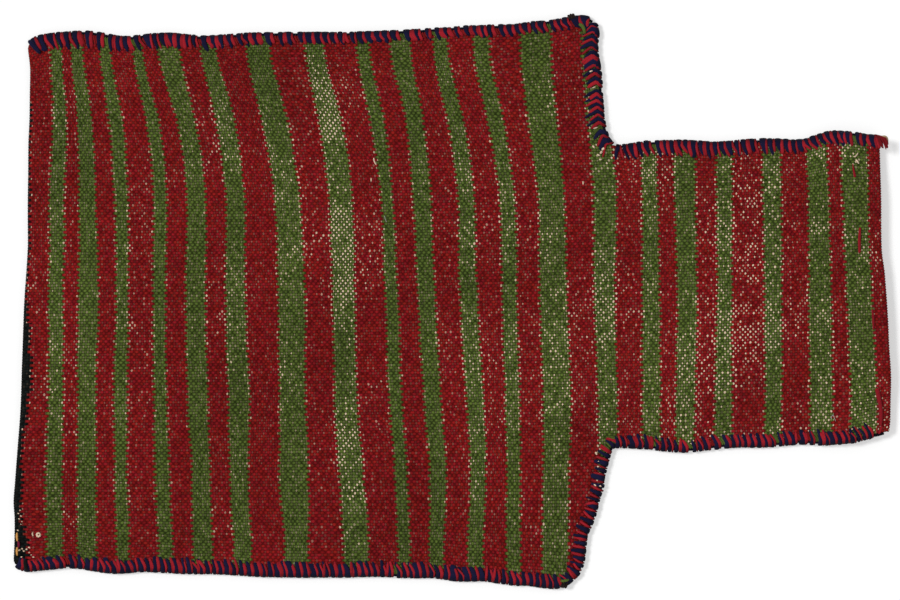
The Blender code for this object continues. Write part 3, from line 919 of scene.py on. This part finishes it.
def edge_frame(edge_at, measure, outward_sign):
    """The edge's place there, the way along it, the way out of the cloth and the layer heights."""
    x, y, bottom, top = edge_at(measure)
    ahead = Vector(edge_at(measure + EDGE_SAMPLE)[:2])
    behind = Vector(edge_at(measure - EDGE_SAMPLE)[:2])
    along = (ahead - behind).normalized()
    outward = Vector((-along.y, along.x)) * outward_sign
    return Vector((x, y, 0)), Vector((*along, 0)), Vector((*outward, 0)), bottom, top


def stitch_path(place, reach, rim, lean, crest, hook, lift):
    """The way of one stitch: out of the upper layer, over the rim and back into the lower one. It
    lies lean to the side where it comes out, crest to the side near the rim, and hook on it."""
    spot, along, outward, bottom, top = place
    high = top + CLOTH_THICKNESS / 2 + RIB_HEIGHT / 2
    low = bottom - CLOTH_THICKNESS / 2
    middle, half = (high + low) / 2, (high - low) / 2
    yarn = STITCH_YARN / 2
    bend = CREST_PLACE * reach
    stops = (
        (-reach - 0.4 * MM, lean, high - 0.9 * MM),
        (-reach + 0.1 * MM, lean, high + 0.1 * MM),
        (-0.82 * reach, 0.80 * lean + 0.20 * crest, high + 0.75 * yarn + lift),
        (-0.60 * reach, 0.48 * lean + 0.52 * crest, high + yarn + lift),
        (-bend, 0.06 * lean + 0.94 * crest, high + yarn + lift),
        (-0.4 * bend, 0.85 * crest + 0.15 * hook, high + yarn + 0.8 * lift),
        (0.35 * rim, 0.30 * crest + 0.70 * hook, high + 0.4 * yarn + 0.3 * lift),
        (0.85 * rim, 0.05 * crest + 0.95 * hook, middle + 0.62 * half),
        (rim, hook, middle),
        (0.80 * rim, hook, middle - 0.66 * half),
        (0.0, 0.8 * hook, low - 0.9 * yarn),
        (-0.60 * reach, 0.0, low - 0.9 * yarn),
        (-reach, 0.0, low + 0.9 * MM),
    )
    return [spot + outward * out + along * shift + UP * z for out, shift, z in stops]


NAVY_TAPER = (0.26, 0.46, 0.68, 0.88, 1.02, 1.14, 1.26, 1.34, 1.36, 1.25, 1.0, 0.75, 0.4)
RED_TAPER = (0.40, 0.70, 0.95, 1.05, 1.05, 1.00, 0.92, 0.86, 0.85, 0.80, 0.8, 0.7, 0.4)
WRAP_SHADE = (0.35, 0.15, 0.0, 0.0, 0.0, 0.06, 0.42, 0.85, 1.0, 1.0, 1.0, 1.0, 1.0)
RIM_FILL_STEP = 0.0040

# How the stitches of a run differ. Widths are shares of the step from one navy stitch to the next
STEP_SPREAD = (0.80, 1.20)
NAVY_WIDE = (0.42, 0.64)
NAVY_BROAD, BROAD_CHANCE = 0.90, 0.10
NAVY_REACH = (0.80, 1.22)
NAVY_RIM = (-0.15, 0.15)
NAVY_AT = 0.3
RED_WIDE = (0.27, 0.48)
RED_REACH = (0.76, 1.12)
RED_RIM = (-0.45, 0.10)
RED_AT, SECOND_RED = 0.76, 0.20
DOUBLE_CHANCE = 0.25
CROSSING_CHANCE = 0.14
CROSSING_SLANT = 1.9 * MM
SLANT_SPREAD = 0.5 * MM
CROSSING_LIFT, RED_LIFT = 0.50 * MM, 0.15 * MM
BARE_STEP = 1.45
BARE_AT, SECOND_BARE = 1.15, 0.26
BARE_WIDE = 1.2 * MM
BARE_REACH = (0.5, 0.9)
BARE_RIM, BARE_SINK = 0.3 * MM, 0.25 * MM


def is_green(spot):
    """Whether the cloth has a green band there."""
    return bisect.bisect_right(stripe_edges(spot.y), spot.x) % 2 == 0


def fill_rim(work, edge_at, start, end, outward_sign):
    """Yarn packed on the rim and darkened with full painted shade, seen as a dark line in the
    chinks between the stitches.
    """
    path, heights = [], []
    for measure in evenly(start, end, RIM_FILL_STEP):
        spot, _, outward, bottom, top = edge_frame(edge_at, measure, outward_sign)
        path.append(spot + outward * 0.35 * RIM + UP * ((bottom + top) / 2))
        heights.append(top - bottom + 1.6 * CLOTH_THICKNESS)
    # painted shade: every ring of the rim yarn at full shade
    add_yarn(work, path, UP, heights, 0.9 * RIM, 0, [1.0] * len(path))


def overcast(
    name, edge_at, start, end, outward_sign, pitch, reaches, lean,
    crest=0.0, hook=0.0, blunt=0.0, bare=0.2, rim_end=None,
):
    """A run of stitches along one edge, a navy and a red one by turns, none quite like another. The
    mean reach changes along the run. Bare is the chance of a place where only the cloth shows."""
    work = new_work()
    fill_rim(work, edge_at, start, rim_end or end, outward_sign)
    direction = math.copysign(1.0, end - start)
    measure = start
    stops = evenly(0.0, abs(end - start), abs(end - start) / (len(reaches) - 1))

    def stitch(ahead, wide, taper, slot, spread, rim, aslant, lift):
        place = edge_frame(edge_at, measure + direction * ahead, outward_sign)
        reach = spread * smooth_between(stops, reaches, abs(measure - start))
        path = stitch_path(place, reach, rim, lean + aslant, crest, hook, lift)
        widths = [wide * (share + blunt * max(0.0, 0.95 - share)) for share in taper]
        add_yarn(work, path, place[1], widths, STITCH_YARN, slot, WRAP_SHADE)
        return place

    while (end - measure) * direction > 0:
        step = pitch * rng.uniform(*STEP_SPREAD)
        wide = step * (rng.uniform(*NAVY_WIDE) if rng.random() > BROAD_CHANCE else NAVY_BROAD)
        rim = RIM + rng.uniform(*NAVY_RIM) * MM
        spread = rng.uniform(*NAVY_REACH)
        stitch(NAVY_AT * step, wide, NAVY_TAPER, 0, spread, rim, rng.gauss(0, SLANT_SPREAD), 0.0)
        for strand in range(2 if rng.random() < DOUBLE_CHANCE else 1):
            crossing = rng.random() < CROSSING_CHANCE
            aslant = rng.choice((-1, 1)) * CROSSING_SLANT if crossing else rng.gauss(0, SLANT_SPREAD)
            lift = CROSSING_LIFT if crossing else RED_LIFT
            rim = RIM + rng.uniform(*RED_RIM) * MM
            wide = step * rng.uniform(*RED_WIDE)
            ahead = (RED_AT + SECOND_RED * strand) * step
            stitch(ahead, wide, RED_TAPER, 1, rng.uniform(*RED_REACH), rim, aslant, lift)
        if rng.random() < bare:
            spot, _, outward, _, _ = edge_frame(edge_at, measure + direction * step * 1.2, outward_sign)
            weft = 2 if is_green(spot - outward * reaches[0]) else 3
            for strand in range(2):
                ahead = (BARE_AT + SECOND_BARE * strand) * step
                spread = rng.uniform(*BARE_REACH)
                stitch(ahead, BARE_WIDE, RED_TAPER, weft, spread, BARE_RIM, 0.0, -BARE_SINK)
            step *= BARE_STEP
        measure += direction * step
    yarns = [navy_yarn, red_yarn, leaf_weft, madder_weft]
    return yarn_object(name, work, yarns, name.replace("stitches", "overcast"))


def edge_place(s, t):
    return *plan(s, t), bottom_z(s, t), top_z(s, t)


def side_edge(t, first=0.0, last=BODY_LENGTH):
    """The places along a side, by the distance from the fold."""
    return lambda s: edge_place(min(max(s, first), last), t)


def shoulder_edge(sign):
    """The places along a shoulder, by the distance from the middle line."""
    return lambda across: edge_place(BODY_LENGTH, sign * min(across, half_body))


UPPER_LEAN = 1.9 * MM
LOWER_LEAN = -2.0 * MM
neck_start = BODY_LENGTH + 0.2 * MM
shoulder_start = half_body - 1.0 * MM
shoulder_end = half_neck + 1.2 * MM
overcast(
    "side_stitches_upper", side_edge(half_body), 0.5 * MM, BODY_LENGTH, 1, 0.0056,
    (0.0082, 0.0068, 0.0050, 0.0048, 0.0054), UPPER_LEAN, bare=0.30,
)
overcast(
    "side_stitches_lower", side_edge(-half_body), 0.5 * MM, BODY_LENGTH, -1, 0.0050,
    (0.0048, 0.0068, 0.0068, 0.0070, 0.0062), LOWER_LEAN, blunt=0.55, bare=0.06,
)
overcast(
    "shoulder_stitches_upper", shoulder_edge(1), shoulder_start, shoulder_end, -1, 0.0051,
    (0.0088, 0.0088), -1.8 * MM, 1.9 * MM, -1.4 * MM, bare=0.10,
)
overcast(
    "shoulder_stitches_lower", shoulder_edge(-1), shoulder_start, shoulder_end, 1, 0.0041,
    (0.0058, 0.0058), -0.2 * MM, 0.0, 0.3 * MM, blunt=0.6, bare=0.04,
)
overcast(
    "neck_stitches_upper", side_edge(half_neck, neck_start, LENGTH), neck_start, LENGTH - MM, 1, 0.0052,
    (0.0072, 0.0074, 0.0066, 0.0056), UPPER_LEAN, bare=0.16,
)
overcast(
    "neck_stitches_lower", side_edge(-half_neck, neck_start, LENGTH), neck_start, LENGTH - 12 * MM, -1,
    0.0045, (0.0060, 0.0060, 0.0070), LOWER_LEAN, blunt=0.45, bare=0.20, rim_end=LENGTH - 2 * MM,
)

# The hem tacks: the turned-in hem of the upper layer is caught down by a few long stitches of the
# same bright red wool, which come up through the cloth, lie on it and go down again.
TACKS = {
    "hem_tack_upper": (((276.1, 95.0), (276.6, 91.0), (277.6, 85.6)), 1.7, (0.35, 0.8, 1.15)),
    "hem_tack_middle": (((280.9, 50.9), (280.4, 42.5), (280.5, 33.4)), 2.0, (0.8, 1.05, 0.9)),
    "hem_tack_lower": (((289.3, -5.4), (290.0, -12.0), (290.2, -19.7)), 1.6, (0.8, 1.1, 0.8)),
    "hem_tack_corner": (
        ((292.6, -60.0), (293.9, -66.0), (295.3, -72.6), (295.6, -79.5), (295.4, -86.0)), 2.7,
        (1.1, 1.2, 0.95, 0.95, 0.6),
    ),
}
YARN_STEP = 0.0009
END_DIP = 0.0016
END_NARROWING = 0.55
YARN_REST = 0.42
CRIMSON = (0.230, 0.0090, 0.0150)
tack_yarn = yarn_material("crimson wool yarn", CRIMSON)


def surface(x, y):
    """The height of the upper layer's face at a place of the picture, also round the fold."""
    s, t = x - FOLD_X, y - MIDDLE_AT_FOLD
    for _ in range(4):
        near_x, near_y = frame_plan(max(s, 0.0), t)
        s += x - near_x - min(s, 0.0)
        t += y - near_y
    inside = max(s, 0.0)
    height = top_z(inside, t) + CLOTH_THICKNESS / 2 + RIB_HEIGHT / 2
    if s < 0:
        radius = (top_z(0.0, t) - bottom_z(0.0, t) + CLOTH_THICKNESS) / 2
        height -= radius - math.sqrt(max(radius**2 - s**2, 0.0))
    return height


def on_curve(points, stops, at):
    """A place on the smooth curve through points in millimetres of the picture."""
    return [MM * smooth_between(stops, [point[axis] for point in points], at) for axis in (0, 1)]


def lay_yarn(work, points, wide, shares, slot=0, lift=0.0, flat=0.75):
    """Lays a yarn on the upper layer along a smooth curve through points in millimetres of the
    picture. Its width is wide times the shares, and its ends are drawn down into the cloth."""
    stops = [0.0]
    for here, there in zip(points, points[1:]):
        stops.append(stops[-1] + math.dist(here, there) * MM)
    last = len(points) - 1
    at_points = [shares[round(number * (len(shares) - 1) / last)] for number in range(len(points))]
    path, widths = [], []
    for run in evenly(0.0, stops[-1], min(YARN_STEP, stops[-1] / 4)):
        x, y = on_curve(points, stops, run)
        path.append(Vector((x, y, surface(x, y) + lift + YARN_REST * MM * wide * flat)))
        widths.append(MM * wide * smooth_between(stops, at_points, run))
    dip = min(END_DIP + lift, 0.4 * stops[-1])
    for end, after in ((0, 1), (-1, -2)):
        path[end].z -= dip
        path[after].z -= 0.25 * dip
        widths[end] *= END_NARROWING
    add_yarn(work, path, None, widths, MM * wide * flat, slot)


for name, (points, wide, shares) in TACKS.items():
    tack = new_work()
    lay_yarn(tack, points, wide, shares)
    yarn_object(name.replace("tack", "stitch"), tack, [tack_yarn], name)

# The tuft at the mouth's upper corner is the frayed end of the overcast yarn: red strands and a
# few of undyed wool, which spread and curl down past the mouth.
TUFT_ROOTS = ((290.6, 115.0), (292.2, 114.9), (293.8, 114.3), (294.9, 113.4))
TUFT_ENDS = ((295.8, 105.8), (297.7, 104.7), (300.3, 105.3), (300.9, 108.0), (300.5, 110.9))
TUFT_RED = 16
TUFT_TAN = 3
TUFT_FLOOR = 0.0130
TUFT_STEPS = 9
STRAND_SHIFT, TAN_FROM = 0.06, 0.86
STRAND_SHORTER = 0.14
STRAND_AWAY = Vector((0.8, 0.9, 0.0))
STRAND_BULGE, TAN_BULGE = (0.2, 1.2), 1.6
STRAND_RISE, TAN_RISE = (0.5, 1.9), 2.3
STRAND_WIDE, TAN_THINNER = (0.9, 1.4), 0.8
ROOT_SHADE = 0.45
TAN = (0.50, 0.34, 0.19)
tan_yarn = yarn_material("undyed wool yarn", TAN)


def along_marks(marks, share):
    """The place at a share of the way along evenly spread marks."""
    return on_curve(marks, range(len(marks)), share * (len(marks) - 1))


def make_tuft():
    """Strands side by side from the roots to the ends, each on a small arc of its own."""
    tuft = new_work()
    for number in range(TUFT_RED + TUFT_TAN):
        is_tan = number >= TUFT_RED
        if is_tan:
            share = rng.uniform(TAN_FROM, 1.0)
        else:
            share = clamped(number / (TUFT_RED - 1) + rng.uniform(-STRAND_SHIFT, STRAND_SHIFT))
        root = Vector((*along_marks(TUFT_ROOTS, share), TUFT_FLOOR + rng.uniform(0.0, 0.9) * MM))
        end = Vector((*along_marks(TUFT_ENDS, share), TUFT_FLOOR + rng.uniform(-0.6, 0.8) * MM))
        end += (root - end) * rng.uniform(0.0, STRAND_SHORTER)
        bulge = STRAND_AWAY * (TAN_BULGE if is_tan else rng.uniform(*STRAND_BULGE)) * MM
        rise = (TAN_RISE if is_tan else rng.uniform(*STRAND_RISE)) * MM
        path, widths = [], []
        wide = rng.uniform(*STRAND_WIDE) * MM * (TAN_THINNER if is_tan else 1.0)
        for step in range(TUFT_STEPS):
            way = step / (TUFT_STEPS - 1)
            swell = math.sin(math.pi * way)
            path.append(root.lerp(end, way) + bulge * swell + UP * rise * swell)
            widths.append(wide * (0.45 + 0.7 * math.sqrt(swell) if way < 0.5 else 0.65 + 0.5 * swell))
        shades = [ROOT_SHADE * (1 - step / (TUFT_STEPS - 1)) for step in range(TUFT_STEPS)]
        add_yarn(tuft, path, None, widths, 0.8 * wide, 1 if is_tan else 0, shades)
    yarn_object("mouth_corner_strands", tuft, [tack_yarn, tan_yarn], "mouth_corner_tuft")


make_tuft()

# A knot of dark brown yarn at each outer corner of the shoulders, where the yarn of one run ends
# and the next begins: two and a half turns drawn tight on the rim, with a short end.
KNOT_PLACES = {"upper": ((82.6, 196.7), 0.95), "lower": ((77.3, -195.9), 1.15)}
KNOT_RADIUS = 0.0016
KNOT_YARN = 0.0016
KNOT_TURNS = 2.6
KNOT_SPAN = 4.4
KNOT_WAIST, KNOT_BELLY = 0.75, 0.35
KNOT_STEPS = 30
KNOT_STUB = (1.3, 1.3, 1.0, 0.7, 0.4)
DARK_BROWN = (0.020, 0.0125, 0.0105)
brown_yarn = yarn_material("dark brown wool yarn", DARK_BROWN)


def make_knot(name, place, height_share):
    """The winding round the rim at a place in millimetres of the picture, and its short end."""
    sign = 1 if name == "upper" else -1
    edge_at = side_edge(sign * half_body)
    _, along, outward, bottom, top = edge_frame(edge_at, BODY_LENGTH - 2 * SEAM_DEPTH, sign)
    centre = Vector((place[0] * MM, place[1] * MM, bottom + (top - bottom) * height_share))
    path = []
    for step in range(KNOT_STEPS + 1):
        share = step / KNOT_STEPS
        angle = math.tau * KNOT_TURNS * share
        radius = KNOT_RADIUS * (KNOT_WAIST + KNOT_BELLY * math.sin(math.pi * share))
        offset = along * KNOT_SPAN * MM * (share - 0.5) + outward * radius * math.cos(angle)
        path.append(centre + offset + UP * radius * math.sin(angle))
    work = new_work()
    add_yarn(work, path, along, [KNOT_YARN] * len(path), KNOT_YARN)
    stub = []
    for step in range(len(KNOT_STUB)):
        stub.append(centre - along * (1.0 + 0.9 * step) * MM + outward * (0.9 - 0.4 * step) * MM)
    add_yarn(work, stub, UP, [width * MM for width in KNOT_STUB], 0.9 * MM)
    yarn_object(f"corner_winding_{name}", work, [brown_yarn], f"corner_knot_{name}")


for name, placing in KNOT_PLACES.items():
    make_knot(name, *placing)

# Stray yarns: ends of weft that lie on the corners, slubs and mended spots of ivory warp, the
# coloured wraps on the fold and a few hairs. Under its yarn each has its width, its lift, and the X
# and the Y of three points, all in millimetres.
OCHRE = (0.58, 0.29, 0.085)
RUBY = (0.19, 0.012, 0.040)
HAIR_GREY = (0.42, 0.42, 0.40)
ivory_yarn = yarn_material("ivory warp yarn", IVORY)
ochre_yarn = yarn_material("ochre wool yarn", OCHRE)
ruby_yarn = yarn_material("ruby wool yarn", RUBY)
dark_yarn = yarn_material("near-black wool yarn", NEAR_BLACK)
hair = yarn_material("grey hair", HAIR_GREY)
STRAYS = {
    leaf_weft: (
        (2.5, 1.3, 87.6, 191.6, 90.2, 189.6, 91.6, 185.0),
        (2.0, 1.3, 74.8, -193.1, 77.6, -192.9, 80.6, -192.2),
    ),
    navy_yarn: (
        (3.4, 1.0, -292.4, 180.0, -288.6, 176.0, -285.0, 171.8),
    ),
    dark_yarn: (
        (2.5, 1.0, -295.3, -178.6, -294.8, -182.0, -294.2, -185.6),
    ),
    ivory_yarn: (
        (1.0, 0.0, 276.6, 100.9, 277.6, 99.7, 280.2, 102.8),
        (1.2, 0.0, 278.0, 98.2, 279.2, 96.8, 280.6, 94.8),
        (1.1, 0.0, -290.2, -159.3, -290.0, -161.0, -289.6, -162.6),
        (1.0, 0.0, -275.6, -32.0, -275.9, -33.2, -276.0, -34.0),
        (0.9, 0.0, 90.0, 83.2, 90.3, 81.8, 90.1, 80.3),
        (0.9, 0.0, -55.9, 85.4, -56.0, 84.0, -55.8, 82.4),
        (0.9, 0.0, -54.2, 99.4, -53.8, 96.6, -52.2, 93.8),
        (1.1, 0.0, -300.0, -172.2, -299.2, -171.9, -298.4, -171.4),
        (1.1, 0.0, -297.9, -170.8, -297.3, -170.8, -296.7, -171.1),
        (1.1, 0.0, -296.6, -172.2, -296.0, -172.6, -295.4, -172.3),
        (1.2, 0.0, -294.9, -171.5, -294.2, -171.2, -293.5, -171.6),
        (1.1, 0.0, -293.0, -169.8, -292.3, -170.0, -291.7, -170.4),
        (0.9, 0.0, -293.0, -173.5, -292.4, -173.5, -291.8, -173.3),
        (0.9, 0.0, -298.5, -176.8, -297.9, -176.7, -297.2, -176.4),
        (1.0, 0.0, -290.2, -176.5, -289.4, -176.7, -288.7, -176.7),
        (0.8, 0.0, -291.5, -175.2, -291.0, -175.2, -290.5, -175.0),
        (0.9, 0.0, -299.0, -144.0, -298.6, -144.3, -298.0, -144.4),
        (0.9, 0.0, -300.2, -146.2, -299.7, -146.6, -299.2, -146.7),
        (0.9, 0.0, -298.4, -148.0, -297.9, -148.3, -297.4, -148.4),
        (1.0, 0.0, -299.8, -150.0, -299.2, -150.3, -298.6, -150.4),
        (0.8, 0.0, -297.8, -151.9, -297.3, -152.1, -296.9, -152.2),
        (0.7, 0.0, -298.5, -153.8, -298.1, -153.9, -297.7, -154.0),
        (1.0, 0.0, -300.7, -157.9, -300.2, -158.2, -299.6, -158.3),
        (1.7, 0.6, 103.4, 104.6, 104.2, 105.4, 105.0, 106.2),
        (1.8, 0.4, 102.2, 102.2, 102.9, 103.1, 103.6, 103.7),
        (1.3, 0.0, 100.2, 101.6, 101.0, 101.1, 101.9, 100.7),
        (1.2, 0.0, 101.2, 98.2, 102.4, 98.0, 103.5, 98.2),
        (1.3, 0.0, 96.8, 107.6, 97.6, 106.9, 98.2, 106.0),
        (1.0, 1.2, 94.6, 158.6, 95.8, 159.0, 97.0, 159.5),
        (1.0, 1.2, 96.6, 147.4, 98.0, 147.9, 99.0, 148.5),
        (1.0, 1.2, 97.4, 119.4, 99.2, 119.9, 100.6, 120.5),
        (1.5, 0.2, 98.8, -104.2, 99.5, -104.9, 99.9, -105.9),
        (1.2, 0.4, 99.4, -110.4, 100.8, -110.5, 102.6, -111.0),
        (1.4, 0.5, 100.0, -113.9, 100.7, -114.0, 101.4, -114.2),
        (1.2, 0.5, 99.2, -118.7, 100.6, -118.8, 102.6, -118.6),
        (1.3, 0.5, 99.2, -123.6, 100.0, -123.8, 100.8, -124.2),
        (1.3, 0.5, 97.6, -126.2, 98.6, -126.8, 99.4, -127.6),
        (1.2, 0.6, 101.4, -127.4, 102.2, -127.5, 103.0, -127.8),
    ),
    ochre_yarn: (
        (1.6, 0.0, -300.8, -159.6, -300.9, -162.5, -300.5, -165.9),
        (1.6, 0.0, -300.6, -169.7, -300.9, -172.5, -300.7, -175.8),
    ),
    ruby_yarn: (
        (1.7, 0.1, -300.0, -165.4, -299.5, -167.8, -299.9, -170.4),
        (1.2, 0.0, -301.9, -145.0, -302.1, -151.0, -302.0, -157.5),
    ),
    red_yarn: (
        (1.5, 0.2, 287.4, -86.4, 288.8, -88.2, 290.6, -91.2),
        (1.2, 0.2, 292.6, -87.2, 292.9, -88.4, 293.1, -90.2),
        (1.7, 0.2, 296.3, -85.8, 295.4, -88.4, 294.3, -91.4),
    ),
    hair: (
        (0.35, 0.2, 261.2, -82.5, 262.6, -78.4, 264.8, -83.2),
        (0.35, 0.2, -47.0, 59.6, -46.3, 57.0, -45.0, 54.2),
        (0.30, 0.2, 195.2, 98.9, 196.2, 97.0, 195.6, 95.0),
    ),
}
COIL_PLACE = (-285.9, -161.2)
COIL_RADIUS = 1.15
COIL_STEPS = 11
COIL_LAP = 2


def make_strays():
    """All the strays in one piece, and the small coil of ivory low on the left."""
    work = new_work()
    yarns = list(STRAYS)
    for number, strays in enumerate(STRAYS.values()):
        for wide, lift, *places in strays:
            points = list(zip(places[::2], places[1::2]))
            lay_yarn(work, points, wide, (0.8, 1.0, 0.75), number, lift * MM)
    coil = []
    for step in range(COIL_STEPS + COIL_LAP):
        angle = math.tau * step / COIL_STEPS
        x, y = COIL_RADIUS * math.cos(angle), COIL_RADIUS * math.sin(angle)
        coil.append((COIL_PLACE[0] + x, COIL_PLACE[1] + y))
    lay_yarn(work, coil, 1.5, (1.0,), yarns.index(ivory_yarn), 0.1 * MM)
    yarn_object("stray_yarns", work, yarns, None)


make_strays()
